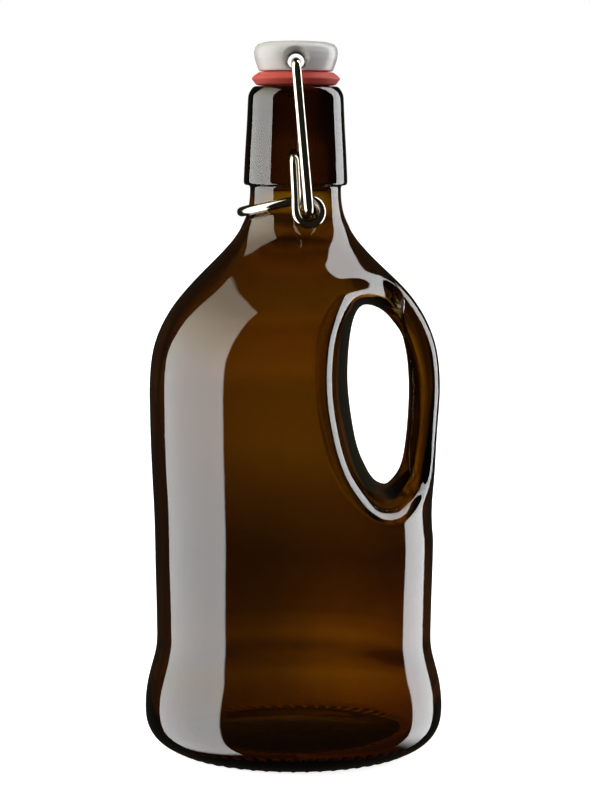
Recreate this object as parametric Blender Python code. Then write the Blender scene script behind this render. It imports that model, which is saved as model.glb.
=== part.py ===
"""Amber glass growler with a handle formed in its own wall and a wire swing-top stopper.

Frame: metres, +Z up, origin at the centre of the foot. The handle is on the +X side, the
finger opening runs along Y, and the closure's two wires turn about axes along Y with the
thumb loop on the -X side. Everything is symmetric about the XZ plane.
"""
import math

import bmesh
import bpy
import numpy as np
from mathutils import Vector

# ---------------------------------------------------------------- driving dimensions (metres)
CLEARANCE = 0.0003

# Glass body: (height, radius) stations of the outside from the foot to the neck.
FOOT_STATIONS = (
    (0.0, 0.0395), (0.0006, 0.0422), (0.0018, 0.0453), (0.0040, 0.0488), (0.0067, 0.0511),
    (0.0098, 0.0525), (0.0140, 0.0531), (0.0185, 0.0530), (0.0230, 0.0525), (0.0275, 0.0515), (0.0315, 0.0504),
    (0.0350, 0.0495), (0.0390, 0.0490), (0.0440, 0.0490), (0.0550, 0.0492), (0.0665, 0.0495),
)
WALL_STATIONS = (
    (0.0665, 0.0495), (0.0780, 0.0497), (0.0868, 0.0500), (0.0983, 0.0506), (0.1098, 0.0511),
    (0.1210, 0.0514), (0.1300, 0.0515), (0.1380, 0.0510), (0.1440, 0.0500), (0.1475, 0.0489),
    (0.1507, 0.0476), (0.1539, 0.0460), (0.1571, 0.0441), (0.1603, 0.0418), (0.1635, 0.0392),
    (0.1667, 0.0363), (0.1699, 0.0333), (0.1730, 0.0302), (0.1760, 0.0272), (0.1790, 0.0244),
    (0.1820, 0.0218), (0.1850, 0.0198), (0.1880, 0.0183), (0.1905, 0.0172), (0.1935, 0.0165),
    (0.1965, 0.0161), (0.1990, 0.0160),
)
# The same for the cavity, a wall's thickness further in.
CAVITY_FLOOR = (
    (0.0082, 0.0), (0.0076, 0.012), (0.0062, 0.024), (0.0052, 0.0345), (0.0057, 0.0410),
    (0.0076, 0.0453), (0.0112, 0.0480), (0.0160, 0.0492), (0.0210, 0.0491), (0.0245, 0.0486),
    (0.0280, 0.0477), (0.0315, 0.0467), (0.0350, 0.0459), (0.0390, 0.0454), (0.0440, 0.0454),
    (0.0550, 0.0456), (0.0665, 0.0459),
)
CAVITY_STATIONS = (
    (0.0665, 0.0459), (0.0780, 0.0461), (0.0868, 0.0464), (0.0983, 0.0470), (0.1098, 0.0475),
    (0.1210, 0.0478), (0.1300, 0.0479), (0.1365, 0.0474), (0.1416, 0.0465), (0.1457, 0.0453),
    (0.1492, 0.0440), (0.1526, 0.0424), (0.1558, 0.0404), (0.1590, 0.0380), (0.1621, 0.0353),
    (0.1652, 0.0324), (0.1684, 0.0293), (0.1714, 0.0263), (0.1744, 0.0234), (0.1773, 0.0208),
    (0.1806, 0.0184), (0.1844, 0.0161), (0.1890, 0.0144), (0.1950, 0.0133), (0.2020, 0.0125),
)
CONTACT_RING_INNER = 0.0350
KICK_HEIGHT = 0.0040
GLASS_TOP = 0.2356
COLLAR_BOTTOM = 0.2010
COLLAR_LOW_RADIUS = 0.0183
COLLAR_TOP_RADIUS = 0.0168
NECK_RADIUS = 0.0160
MOUTH_RADIUS = 0.0097
SEAL_OUTER_RADIUS = 0.0142

# Finger tunnel: the hole's outline at its waist (x, z), and the rim it flares to on the
# body, as (angle from -Y towards +X in degrees, z). Knots pair up, and every third knot
# belongs to a corner of the patch of wall that the tunnel replaces.
HOLE_KNOTS = (
    (0.0216, 0.1115), (0.0256, 0.1008), (0.0296, 0.0953),
    (0.0334, 0.0956), (0.0384, 0.1045), (0.0404, 0.1270),
    (0.0389, 0.1452), (0.0341, 0.1538), (0.0287, 0.1582),
    (0.0230, 0.1582), (0.0198, 0.1497), (0.0188, 0.1315),
)
RIM_KNOTS = (
    (16.5, 0.1095), (25.6, 0.0963), (38.5, 0.0884),
    (55.0, 0.0910), (71.5, 0.1040), (74.0, 0.1300),
    (77.0, 0.1540), (70.0, 0.1660), (48.0, 0.1682),
    (26.6, 0.1645), (13.2, 0.1515), (11.1, 0.1310),
)
PATCH_BOTTOM = 0.0780
PATCH_TOP = 0.1760
TUNNEL_WALL = 0.0034
RIM_ROUNDING = 0.0050
CAVITY_ROUNDING = 0.0026
WAIST_SOFTNESS = 0.30
# Share of the tunnel's flare that comes late, near the mouth, and how late it comes.
MOUTH_FLARE = 0.38
MOUTH_FLARE_POWER = 10
# The strap that the hand closes round: half of its depth along Y, and the knot positions
# as (start, length of the blend in, length of the blend out, end).
STRAP_HALF_DEPTH = 0.0094
STRAP_RANGE = (3.3, 1.0, 1.0, 6.7)
# How far the handle stands out of (+) or into (-) the round body: (height, offset).
HANDLE_SWELL = (
    (0.0760, 0.0), (0.0840, -0.0008), (0.1000, -0.0007), (0.1120, -0.0006),
    (0.1260, 0.0), (0.1450, 0.0002), (0.1570, 0.0006), (0.1650, 0.0009),
    (0.1710, 0.0003), (0.1760, 0.0),
)

# Mesh density of the glass.
COLUMNS = 32
PATCH_COLUMNS = COLUMNS // 4
PATCH_ROWS = 10
FILLET_STEPS = 4

# Closure: wires, pivots and layers.
WIRE_RADIUS = 0.00165
WIRE_BEND = 0.0026
PIVOT = Vector((-0.0005, 0.0, 0.2111))
EYE = Vector((0.0047, 0.0, 0.1922))
BORE_WIRE = Vector((0.0, 0.0, 0.2435))
EYE_RADIUS = 0.0044
PIVOT_LAYER = 0.0201
LEG_LAYER = 0.0219
EYE_LAYER = 0.0216
THUMB_LAYER = 0.0183
PIVOT_END = 0.0158
DIMPLE_DEPTH_Y = 0.0154
THUMB_REACH = 0.0190
THUMB_TIP_DROP = 0.0050
BAIL_LAYER = 0.0261
BAIL_HOOK_END = 0.0200
BAIL_SHOULDER = 0.0210

# Stopper and gasket.
STOPPER_BORE_RADIUS = 0.00275
STOPPER_BORE_HEIGHT = 0.2443
COUNTERSINK_RADIUS = 0.0048
HEAD_BOTTOM = 0.2408
HEAD_TOP = 0.2514
GASKET_HOLE = 0.0069


# ---------------------------------------------------------------- helpers
def clear_scene():
    for old in list(bpy.data.objects):
        bpy.data.objects.remove(old, do_unlink=True)


def make_material(name, color, roughness, metallic=0.0, transmission=0.0, ior=1.5):
    """A Principled material with the part's colour and finish."""
    material = bpy.data.materials.new(name)
    material.use_nodes = True
    material.diffuse_color = color
    shader = material.node_tree.nodes["Principled BSDF"]
    shader.inputs["Base Color"].default_value = color
    shader.inputs["Roughness"].default_value = roughness
    shader.inputs["Metallic"].default_value = metallic
    shader.inputs["Transmission Weight"].default_value = transmission
    shader.inputs["IOR"].default_value = ior
    return material


def add_mesh_object(name, bm, material, origin=(0.0, 0.0, 0.0)):
    """Turn a bmesh in world coordinates into an object whose origin is at the given point."""
    bmesh.ops.translate(bm, verts=bm.verts, vec=-Vector(origin))
    bmesh.ops.recalc_face_normals(bm, faces=bm.faces)
    mesh = bpy.data.meshes.new(name)
    bm.to_mesh(mesh)
    bm.free()
    mesh.shade_smooth()
    mesh.set_sharp_from_angle(angle=math.radians(40))
    mesh.materials.append(material)
    part = bpy.data.objects.new(name, mesh)
    part.location = origin
    bpy.context.collection.objects.link(part)
    return part


def curve_at(stations, position):
    """Value at a position on a smooth curve through (position, value) stations."""
    places, values = np.array(stations).T
    slopes = np.gradient(values, places)
    i = int(np.clip(np.searchsorted(places, position) - 1, 0, len(places) - 2))
    step = places[i + 1] - places[i]
    t = float(np.clip((position - places[i]) / step, 0.0, 1.0))
    blend = t * t * (3.0 - 2.0 * t)
    rise = t * (1.0 - t) ** 2 * slopes[i] - t * t * (1.0 - t) * slopes[i + 1]
    return float(values[i] + blend * (values[i + 1] - values[i]) + rise * step)


def loop_at(knots, position):
    """Point on a smooth closed curve through the knots; position counts knots."""
    points = np.array(knots)
    count = len(points)
    i = int(math.floor(position)) % count
    t = position - math.floor(position)
    before, start, end, after = (points[(i + k) % count] for k in (-1, 0, 1, 2))
    return 0.5 * (2.0 * start + (end - before) * t
                  + (2.0 * before - 5.0 * start + 4.0 * end - after) * t ** 2
                  + (3.0 * start - before - 3.0 * end + after) * t ** 3)


def ring_vertices(bm, radius, height, swell=0.0):
    """One level of a turned surface; column 0 faces -Y and column COLUMNS / 4 faces +X."""
    ring = []
    for column in range(COLUMNS):
        angle = 2.0 * math.pi * column / COLUMNS
        reach = radius + swell * handle_window(angle)
        ring.append(bm.verts.new((reach * math.sin(angle), -reach * math.cos(angle), height)))
    return ring


def handle_window(angle):
    """1 in the middle of the handle (+X), falling to 0 at 45 degrees either side of it."""
    away = abs(angle - math.pi / 2.0)
    if away >= math.pi / 4.0:
        return 0.0
    return math.cos(2.0 * away) ** 2


def bridge_rings(bm, lower, upper, skipped=()):
    for column in range(COLUMNS):
        if column in skipped:
            continue
        after = (column + 1) % COLUMNS
        bm.faces.new((lower[column], lower[after], upper[after], upper[column]))


# ---------------------------------------------------------------- glass bottle
class Skin:
    """One side of the glass wall, outside or cavity, around the finger tunnel."""

    def __init__(self, stations, offset, rounding):
        self.stations = stations
        self.offset = offset
        self.rounding = rounding

    def point(self, angle, height):
        radius = curve_at(self.stations, height)
        radius += curve_at(HANDLE_SWELL, height) * handle_window(angle)
        return np.array((radius * math.sin(angle), -radius * math.cos(angle), height))

    def rim_and_hole(self, position):
        """Matching points of the tunnel's rim (angle, height) and waist outline (x, z)."""
        rim_angle, rim_height = loop_at(RIM_KNOTS, position)
        rim_angle = math.radians(rim_angle)
        waist = loop_at(HOLE_KNOTS, position)
        if self.offset == 0.0:
            return rim_angle, rim_height, waist
        tangent = loop_at(HOLE_KNOTS, position + 0.01) - loop_at(HOLE_KNOTS, position - 0.01)
        outward = np.array((tangent[1], -tangent[0]))
        waist = waist + outward * self.offset / np.linalg.norm(outward)
        corner = self.offset_rim(position)
        return math.atan2(corner[0], -corner[1]), corner[2], waist

    def offset_rim(self, position):
        """Rim corner moved into the glass by the wall's thickness from both its faces."""
        outer = Skin(WALL_STATIONS, 0.0, RIM_ROUNDING)
        angle, height, _ = outer.rim_and_hole(position)
        rim = outer.point(angle, height)
        step = 0.01
        around = outer.point(angle + step, height) - outer.point(angle - step, height)
        upward = outer.point(angle, height + 0.0005) - outer.point(angle, height - 0.0005)
        body_normal = np.cross(around, upward)
        body_normal /= np.linalg.norm(body_normal)
        into_tunnel = outer.wall_point(position, 0.97) - rim
        ahead = outer.rim_and_hole(position + step)
        behind = outer.rim_and_hole(position - step)
        along = outer.point(*ahead[:2]) - outer.point(*behind[:2])
        wall_normal = np.cross(along, into_tunnel)
        wall_normal /= np.linalg.norm(wall_normal)
        middle = np.array((0.030, 0.0, 0.127))
        if np.dot(wall_normal, middle - outer.wall_point(position, 0.0)) < 0.0:
            wall_normal = -wall_normal
        share = self.offset / (1.0 + np.dot(body_normal, wall_normal))
        return rim - share * (body_normal + wall_normal)

    def wall_point(self, position, reach):
        """Point on the tunnel's wall: reach is 0 at the waist (y = 0) and 1 at the rim."""
        angle, height, waist = self.rim_and_hole(position)
        rim = self.point(angle, height)
        soft = WAIST_SOFTNESS
        flare = (math.hypot(reach, soft) - soft) / (math.hypot(1.0, soft) - soft)
        mouth = MOUTH_FLARE * (1.0 - strap_share(position))
        flare += mouth * (reach ** MOUTH_FLARE_POWER - flare)
        x = waist[0] + (rim[0] - waist[0]) * flare
        z = waist[1] + (rim[2] - waist[1]) * flare
        return np.array((x, rim[1] * reach, z))

    def tunnel_strip(self, position, patch_angle, patch_height):
        """Points from beside the patch's edge, over the tunnel's rim, down to the waist."""
        share = strap_share(position)
        strip = self.rim_strip(position, patch_angle, patch_height)
        if share == 0.0:
            return strip
        strap = self.strap_strip(position, patch_angle, patch_height, len(strip))
        return [point + (other - point) * share for point, other in zip(strip, strap)]

    def rim_strip(self, position, patch_angle, patch_height):
        """The strip with a rounded rim between the bottle's side and the tunnel's wall."""
        angle, height, waist = self.rim_and_hole(position)
        rim = self.point(angle, height)
        edge = self.point(patch_angle, patch_height)
        rounding = min(self.rounding, 0.34 * abs(rim[1]))
        start = 1.0 - rounding / np.linalg.norm(rim - edge)
        depth = math.dist(rim, (waist[0], 0.0, waist[1]))
        end_reach = 1.0 - rounding / depth

        def on_body(share):
            return self.point(patch_angle + (angle - patch_angle) * share,
                              patch_height + (height - patch_height) * share)

        first = on_body(start)
        last = self.wall_point(position, end_reach)
        strip = [on_body(start * 0.5), first]
        for k in range(1, FILLET_STEPS):
            t = k / FILLET_STEPS
            strip.append((1 - t) ** 2 * first + 2 * t * (1 - t) * rim + t * t * last)
        strip.append(last)
        for share in (0.82, 0.58, 0.28, 0.0):
            strip.append(self.wall_point(position, end_reach * share))
        return strip

    def strap_strip(self, position, patch_angle, patch_height, count):
        """The strip as half of an oval section, for the strap that the hand closes round."""
        _, _, waist = self.rim_and_hole(position)
        edge = self.point(patch_angle, patch_height)
        last = np.array((waist[0], 0.0, waist[1]))
        depth = (STRAP_HALF_DEPTH - self.offset) / 0.75
        out = np.array((0.0, -depth, 0.0))
        strip = []
        for k in range(1, count + 1):
            t = k / count
            strip.append((1 - t) ** 3 * edge + 3 * t * (1 - t) ** 2 * (edge + out)
                         + 3 * t * t * (1 - t) * (last + out) + t ** 3 * last)
        return strip


def strap_share(position):
    """1 along the middle of the handle's strap, falling to 0 where it joins the body."""
    rise = np.clip((position - STRAP_RANGE[0]) / STRAP_RANGE[1], 0.0, 1.0)
    fall = np.clip((STRAP_RANGE[3] - position) / STRAP_RANGE[2], 0.0, 1.0)
    share = min(rise, fall)
    return float(share * share * (3.0 - 2.0 * share))


def patch_border():
    """(column, row, knot position) of each point of the border around the tunnel patch."""
    border = []
    for k in range(PATCH_COLUMNS):
        border.append((k, 0, 3.0 * k / PATCH_COLUMNS))
    for k in range(PATCH_ROWS):
        border.append((PATCH_COLUMNS, k, 3.0 + 3.0 * k / PATCH_ROWS))
    for k in range(PATCH_COLUMNS):
        border.append((PATCH_COLUMNS - k, PATCH_ROWS, 6.0 + 3.0 * k / PATCH_COLUMNS))
    for k in range(PATCH_ROWS):
        border.append((0, PATCH_ROWS - k, 9.0 + 3.0 * k / PATCH_ROWS))
    return border


def add_tunnel(bm, skin, rows):
    """Replace the front and back patches of a skin with the tunnel that joins them."""
    border = patch_border()
    strips = []
    for column, row, position in border:
        angle = 2.0 * math.pi * column / COLUMNS
        strips.append(skin.tunnel_strip(position, angle, rows[row][0].co.z))
    waist_ring = [bm.verts.new(strip[-1]) for strip in strips]
    for side in (1, -1):
        rings = []
        for column, row, _ in border:
            mirrored = column if side == 1 else COLUMNS // 2 - column
            rings.append([rows[row][mirrored]])
        for ring, strip in zip(rings, strips):
            for point in strip[:-1]:
                ring.append(bm.verts.new((point[0], side * point[1], point[2])))
        for ring, waist in zip(rings, waist_ring):
            ring.append(waist)
        for k, ring in enumerate(rings):
            after = rings[(k + 1) % len(rings)]
            for level in range(len(ring) - 1):
                corners = (ring[level], after[level], after[level + 1], ring[level + 1])
                bm.faces.new(corners)


def add_wall(bm, skin, levels):
    """Rings of a skin at the given heights, with the tunnel let into the patch rows."""
    rings = []
    for height in levels:
        radius = curve_at(skin.stations, height)
        rings.append(ring_vertices(bm, radius, height, curve_at(HANDLE_SWELL, height)))
    bottom = levels.index(PATCH_BOTTOM)
    patch = set(range(COLUMNS // 2))
    for k in range(len(levels) - 1):
        skipped = patch if bottom <= k < bottom + PATCH_ROWS else ()
        bridge_rings(bm, rings[k], rings[k + 1], skipped)
    add_tunnel(bm, skin, rings[bottom:bottom + PATCH_ROWS + 1])
    return rings


def patch_levels():
    step = (PATCH_TOP - PATCH_BOTTOM) / PATCH_ROWS
    return [PATCH_BOTTOM] + [PATCH_BOTTOM + step * k for k in range(1, PATCH_ROWS)] + [PATCH_TOP]


def add_turned(bm, start_ring, outline):
    """Continue a surface from a ring through (height, radius) points; radius 0 closes it."""
    ring = start_ring
    for height, radius in outline:
        if radius == 0.0:
            centre = bm.verts.new((0.0, 0.0, height))
            for column in range(COLUMNS):
                bm.faces.new((ring[column], ring[(column + 1) % COLUMNS], centre))
            return None
        following = ring_vertices(bm, radius, height)
        bridge_rings(bm, ring, following)
        ring = following
    return ring


def glass_bottle(material):
    bm = bmesh.new()
    neck_levels = [0.1790, 0.1820, 0.1850, 0.1880, 0.1910, 0.1950, 0.1990]
    outer = Skin(WALL_STATIONS, 0.0, RIM_ROUNDING)
    outer_rings = add_wall(bm, outer, [0.0665] + patch_levels() + neck_levels)
    underside = ((0.0, CONTACT_RING_INNER), (0.0006, 0.0336), (0.0024, 0.0290),
                 (KICK_HEIGHT, 0.0170), (KICK_HEIGHT + 0.0004, 0.0))
    add_turned(bm, outer_rings[0], tuple(reversed(FOOT_STATIONS[:-1])) + underside)

    collar_height = GLASS_TOP - COLLAR_BOTTOM
    collar = (
        (COLLAR_BOTTOM - 0.0004, NECK_RADIUS + 0.0002),
        (COLLAR_BOTTOM, NECK_RADIUS + 0.0008),
        (COLLAR_BOTTOM, COLLAR_LOW_RADIUS - 0.0007),
        (COLLAR_BOTTOM + 0.0003, COLLAR_LOW_RADIUS - 0.0002),
        (COLLAR_BOTTOM + 0.0012, COLLAR_LOW_RADIUS),
        (COLLAR_BOTTOM + 0.33 * collar_height, COLLAR_LOW_RADIUS - 0.0005),
        (COLLAR_BOTTOM + 0.62 * collar_height, COLLAR_TOP_RADIUS + 0.0004),
        (GLASS_TOP - 0.0042, COLLAR_TOP_RADIUS),
        (GLASS_TOP - 0.0024, COLLAR_TOP_RADIUS - 0.0004),
        (GLASS_TOP - 0.0009, COLLAR_TOP_RADIUS - 0.0013),
        (GLASS_TOP - 0.0002, SEAL_OUTER_RADIUS + 0.0006),
        (GLASS_TOP, SEAL_OUTER_RADIUS),
        (GLASS_TOP, MOUTH_RADIUS + 0.0012),
        (GLASS_TOP - 0.0004, MOUTH_RADIUS + 0.0004),
        (GLASS_TOP - 0.0014, MOUTH_RADIUS),
        (GLASS_TOP - 0.0100, MOUTH_RADIUS + 0.0007),
        (GLASS_TOP - 0.0220, MOUTH_RADIUS + 0.0023),
    )
    bore_end = add_turned(bm, outer_rings[-1], collar)

    cavity = Skin(CAVITY_STATIONS, TUNNEL_WALL, CAVITY_ROUNDING)
    inner_levels = [0.0665] + patch_levels() + [0.1800, 0.1840, 0.1890, 0.1950, 0.2020]
    inner_rings = add_wall(bm, cavity, inner_levels)
    bridge_rings(bm, bore_end, inner_rings[-1])
    add_turned(bm, inner_rings[0], tuple(reversed(CAVITY_FLOOR[:-1])))
    bottle = add_mesh_object("glass_bottle", bm, material)

    cut = bottle.modifiers.new("pivot_dimples", "BOOLEAN")
    cut.operation = "DIFFERENCE"
    cut.object = dimple_cutter()
    return bottle


def dimple_cutter():
    """Two short rods that cut the blind holes for the lever's pivot ends."""
    bm = bmesh.new()
    length = 0.0060
    for side in (1, -1):
        made = bmesh.ops.create_cone(bm, cap_ends=True, segments=12, depth=length,
                                     radius1=WIRE_RADIUS + CLEARANCE,
                                     radius2=WIRE_RADIUS + CLEARANCE)
        turn = Vector((0.0, 0.0, 1.0)).rotation_difference(Vector((0.0, side, 0.0)))
        bmesh.ops.rotate(bm, verts=made["verts"], matrix=turn.to_matrix())
        shift = Vector((PIVOT.x, side * (DIMPLE_DEPTH_Y + length / 2.0), PIVOT.z))
        bmesh.ops.translate(bm, verts=made["verts"], vec=shift)
    return add_cutter("dimple_cutter", bm)


def add_cutter(name, bm):
    bmesh.ops.recalc_face_normals(bm, faces=bm.faces)
    mesh = bpy.data.meshes.new(name)
    bm.to_mesh(mesh)
    bm.free()
    cutter = bpy.data.objects.new(name, mesh)
    bpy.context.collection.objects.link(cutter)
    cutter.hide_render = True
    cutter.display_type = "WIRE"
    return cutter


# ---------------------------------------------------------------- stopper and gasket
def spin_outline(bm, outline, segments):
    """Turn a closed (radius, height) outline round Z; ends on the axis close themselves."""
    rings = []
    for radius, height in outline:
        if radius == 0.0:
            rings.append([bm.verts.new((0.0, 0.0, height))])
            continue
        ring = []
        for k in range(segments):
            angle = 2.0 * math.pi * k / segments
            x, y = radius * math.cos(angle), radius * math.sin(angle)
            ring.append(bm.verts.new((x, y, height)))
        rings.append(ring)
    pairs = list(zip(rings, rings[1:]))
    if len(rings[0]) > 1:
        pairs.append((rings[-1], rings[0]))
    for one, two in pairs:
        for k in range(segments):
            after = (k + 1) % segments
            corners = [one[k % len(one)], one[after % len(one)],
                       two[after % len(two)], two[k % len(two)]]
            bm.faces.new(list(dict.fromkeys(corners)))


def porcelain_stopper(material):
    bm = bmesh.new()
    outline = (
        (0.0, HEAD_TOP), (0.0060, HEAD_TOP - 0.0001), (0.0105, HEAD_TOP - 0.0004),
        (0.0132, HEAD_TOP - 0.0011), (0.0143, HEAD_TOP - 0.0022), (0.0147, HEAD_TOP - 0.0040),
        (0.0145, 0.2452), (0.0136, 0.2425), (0.0131, HEAD_BOTTOM + 0.0004),
        (0.0127, HEAD_BOTTOM), (0.0066, HEAD_BOTTOM), (0.0065, 0.2362), (0.0072, 0.2346),
        (0.0070, 0.2330), (0.0058, 0.2317), (0.0, 0.2311),
    )
    spin_outline(bm, outline, 32)
    stopper = add_mesh_object("porcelain_stopper", bm, material, BORE_WIRE)
    cut = stopper.modifiers.new("cross_bore", "BOOLEAN")
    cut.operation = "DIFFERENCE"
    cut.object = bore_cutter()
    return stopper


def bore_cutter():
    """The cross bore along Y, flared to a countersink at both sides of the head."""
    bm = bmesh.new()
    half = ((0.0, 0.0), (0.0, STOPPER_BORE_RADIUS), (0.0102, STOPPER_BORE_RADIUS),
            (0.0124, STOPPER_BORE_RADIUS + 0.0006), (0.0142, COUNTERSINK_RADIUS - 0.0002),
            (0.0160, COUNTERSINK_RADIUS + 0.0022), (0.0160, 0.0))
    run = [(-y, r) for y, r in reversed(half[2:])] + list(half[2:])
    segments = 16
    rings = []
    for y, radius in run:
        if radius == 0.0:
            rings.append([bm.verts.new((0.0, y, STOPPER_BORE_HEIGHT))])
            continue
        ring = []
        for k in range(segments):
            angle = 2.0 * math.pi * k / segments
            x, z = radius * math.cos(angle), radius * math.sin(angle)
            ring.append(bm.verts.new((x, y, STOPPER_BORE_HEIGHT + z)))
        rings.append(ring)
    for one, two in zip(rings, rings[1:]):
        for k in range(segments):
            after = (k + 1) % segments
            corners = [one[k % len(one)], one[after % len(one)],
                       two[after % len(two)], two[k % len(two)]]
            bm.faces.new(list(dict.fromkeys(corners)))
    return add_cutter("bore_cutter", bm)


def rubber_gasket(material):
    bm = bmesh.new()
    bottom = GLASS_TOP + CLEARANCE
    top = HEAD_BOTTOM - CLEARANCE
    outline = (
        (GASKET_HOLE, top), (0.0131, top), (0.0137, top - 0.0004),
        (0.0153, 0.2386), (0.0156, 0.2382), (0.0153, 0.2378),
        (0.0143, bottom + 0.0004), (0.0138, bottom), (GASKET_HOLE, bottom),
    )
    spin_outline(bm, outline, 32)
    return add_mesh_object("rubber_gasket", bm, material, BORE_WIRE)


# ---------------------------------------------------------------- wires
def round_corners(points, bend):
    """A path through the points with each inner corner swapped for a round bend."""
    path = [Vector(points[0])]
    for before, corner, after in zip(points, points[1:], points[2:]):
        before, corner, after = Vector(before), Vector(corner), Vector(after)
        to_before = (before - corner).normalized()
        to_after = (after - corner).normalized()
        reach = bend
        for k in range(5):
            t = k / 4.0
            start = corner + to_before * reach
            end = corner + to_after * reach
            path.append((1 - t) ** 2 * start + 2 * t * (1 - t) * corner + t * t * end)
    path.append(Vector(points[-1]))
    return path


def mirror_path(path):
    """The whole wire from its half on the -Y side, the half's last point being at y = 0."""
    other = [Vector((p.x, -p.y, p.z)) for p in reversed(path[:-1])]
    return path + other


def wire(name, path, material, origin):
    curve = bpy.data.curves.new(name, "CURVE")
    curve.dimensions = "3D"
    curve.bevel_depth = WIRE_RADIUS
    curve.bevel_resolution = 2
    curve.use_fill_caps = True
    spline = curve.splines.new("POLY")
    spline.points.add(len(path) - 1)
    for target, point in zip(spline.points, path):
        target.co = (*(point - origin), 1.0)
    curve.materials.append(material)
    part = bpy.data.objects.new(name, curve)
    part.location = origin
    bpy.context.collection.objects.link(part)
    return part


def lever_wire(material):
    """Pivot end, leg, eye and thumb loop, bent from one wire."""
    leg_foot = Vector((EYE.x - EYE_RADIUS, -LEG_LAYER, EYE.z + 0.0043))
    path = round_corners([
        (PIVOT.x, -PIVOT_END, PIVOT.z),
        (PIVOT.x, -PIVOT_LAYER, PIVOT.z),
        leg_foot,
    ], WIRE_BEND)
    steps = 12
    for k in range(steps + 1):
        turn = math.pi + 1.5 * math.pi * k / steps
        shift = max(0.0, (k / steps - 0.3) / 0.7)
        layer = EYE_LAYER + (THUMB_LAYER - EYE_LAYER) * shift
        path.append(Vector((EYE.x + EYE_RADIUS * math.cos(turn), -layer,
                            EYE.z + EYE_RADIUS * math.sin(turn))))
    eye_top = EYE.z + EYE_RADIUS
    path.append(Vector((0.0022, -THUMB_LAYER, eye_top - 0.0002)))
    arc_steps = 8
    for k in range(arc_steps + 1):
        turn = 0.5 * math.pi * k / arc_steps
        x = -THUMB_REACH * math.sin(turn)
        y = -THUMB_LAYER * math.cos(turn)
        drop = 0.0006 + (THUMB_TIP_DROP - 0.0006) * math.sin(turn)
        path.append(Vector((x, y, eye_top - drop)))
    return wire("lever_wire", mirror_path(path), material, PIVOT)


def bail_wire(material):
    """Hooked end in the lever's eye, splayed leg and the run through the stopper's bore."""
    path = round_corners([
        (EYE.x, -BAIL_HOOK_END, EYE.z),
        (EYE.x, -BAIL_LAYER, EYE.z),
        (BORE_WIRE.x, -BAIL_SHOULDER, BORE_WIRE.z),
        (BORE_WIRE.x, 0.0, BORE_WIRE.z),
    ], WIRE_BEND)
    return wire("bail_wire", mirror_path(path), material, EYE)


def build():
    clear_scene()
    amber = make_material("amber_glass", (0.16, 0.065, 0.008, 1.0), 0.03, 0.0, 0.9, 1.52)
    porcelain = make_material("porcelain", (0.80, 0.79, 0.76, 1.0), 0.18)
    rubber = make_material("red_rubber", (0.62, 0.09, 0.07, 1.0), 0.5)
    steel = make_material("steel_wire", (0.62, 0.60, 0.56, 1.0), 0.22, 1.0)

    glass_bottle(amber)
    lever = lever_wire(steel)
    bail = bail_wire(steel)
    stopper = porcelain_stopper(porcelain)
    gasket = rubber_gasket(rubber)
    bpy.context.view_layer.update()
    for child, parent in ((gasket, stopper), (stopper, bail), (bail, lever)):
        child.parent = parent
        child.location = child.location - parent.location
    bpy.context.view_layer.update()


build()
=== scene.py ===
"""Looks of the amber glass growler: fine glass, glazed stopper, rubber gasket, steel wires."""
import math

import bmesh
import bpy
import numpy as np
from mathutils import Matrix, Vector


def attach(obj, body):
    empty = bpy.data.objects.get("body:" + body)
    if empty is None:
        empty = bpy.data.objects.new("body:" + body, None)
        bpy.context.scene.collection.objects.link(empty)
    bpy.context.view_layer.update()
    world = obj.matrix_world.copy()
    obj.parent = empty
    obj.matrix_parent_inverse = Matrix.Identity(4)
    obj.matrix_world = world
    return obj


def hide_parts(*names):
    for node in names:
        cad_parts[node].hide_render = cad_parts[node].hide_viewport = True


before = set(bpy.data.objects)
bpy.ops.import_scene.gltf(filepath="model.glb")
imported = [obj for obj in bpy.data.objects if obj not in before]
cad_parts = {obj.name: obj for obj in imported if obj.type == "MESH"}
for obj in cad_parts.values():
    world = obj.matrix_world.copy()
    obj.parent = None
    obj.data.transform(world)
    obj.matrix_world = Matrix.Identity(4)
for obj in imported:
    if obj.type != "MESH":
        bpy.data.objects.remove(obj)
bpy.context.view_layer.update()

# ---------------------------------------------------------------- shape of the glass (metres)
# (height, radius) stations of the outside, from just above the beaded ring to the neck.
FOOT_STATIONS = (
    (0.0013, 0.0442), (0.0025, 0.0466), (0.0043, 0.0491), (0.0067, 0.0511), (0.0098, 0.0525),
    (0.0140, 0.0531), (0.0185, 0.0530), (0.0230, 0.0525), (0.0275, 0.0515), (0.0315, 0.0504),
    (0.0350, 0.0495), (0.0390, 0.0490), (0.0440, 0.0490), (0.0550, 0.0492), (0.0665, 0.0495),
)
WALL_STATIONS = (
    (0.0665, 0.0495), (0.0780, 0.0497), (0.0868, 0.0500), (0.0983, 0.0506), (0.1098, 0.0511),
    (0.1210, 0.0514), (0.1300, 0.0515), (0.1380, 0.0510), (0.1440, 0.0500), (0.1475, 0.0489),
    (0.1507, 0.0476), (0.1539, 0.0460), (0.1571, 0.0441), (0.1603, 0.0418), (0.1635, 0.0392),
    (0.1667, 0.0363), (0.1699, 0.0333), (0.1730, 0.0302), (0.1760, 0.0272), (0.1790, 0.0244),
    (0.1820, 0.0218), (0.1850, 0.0198), (0.1880, 0.0183), (0.1905, 0.0172), (0.1935, 0.0165),
    (0.1965, 0.0161), (0.1990, 0.0160),
)
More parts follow.
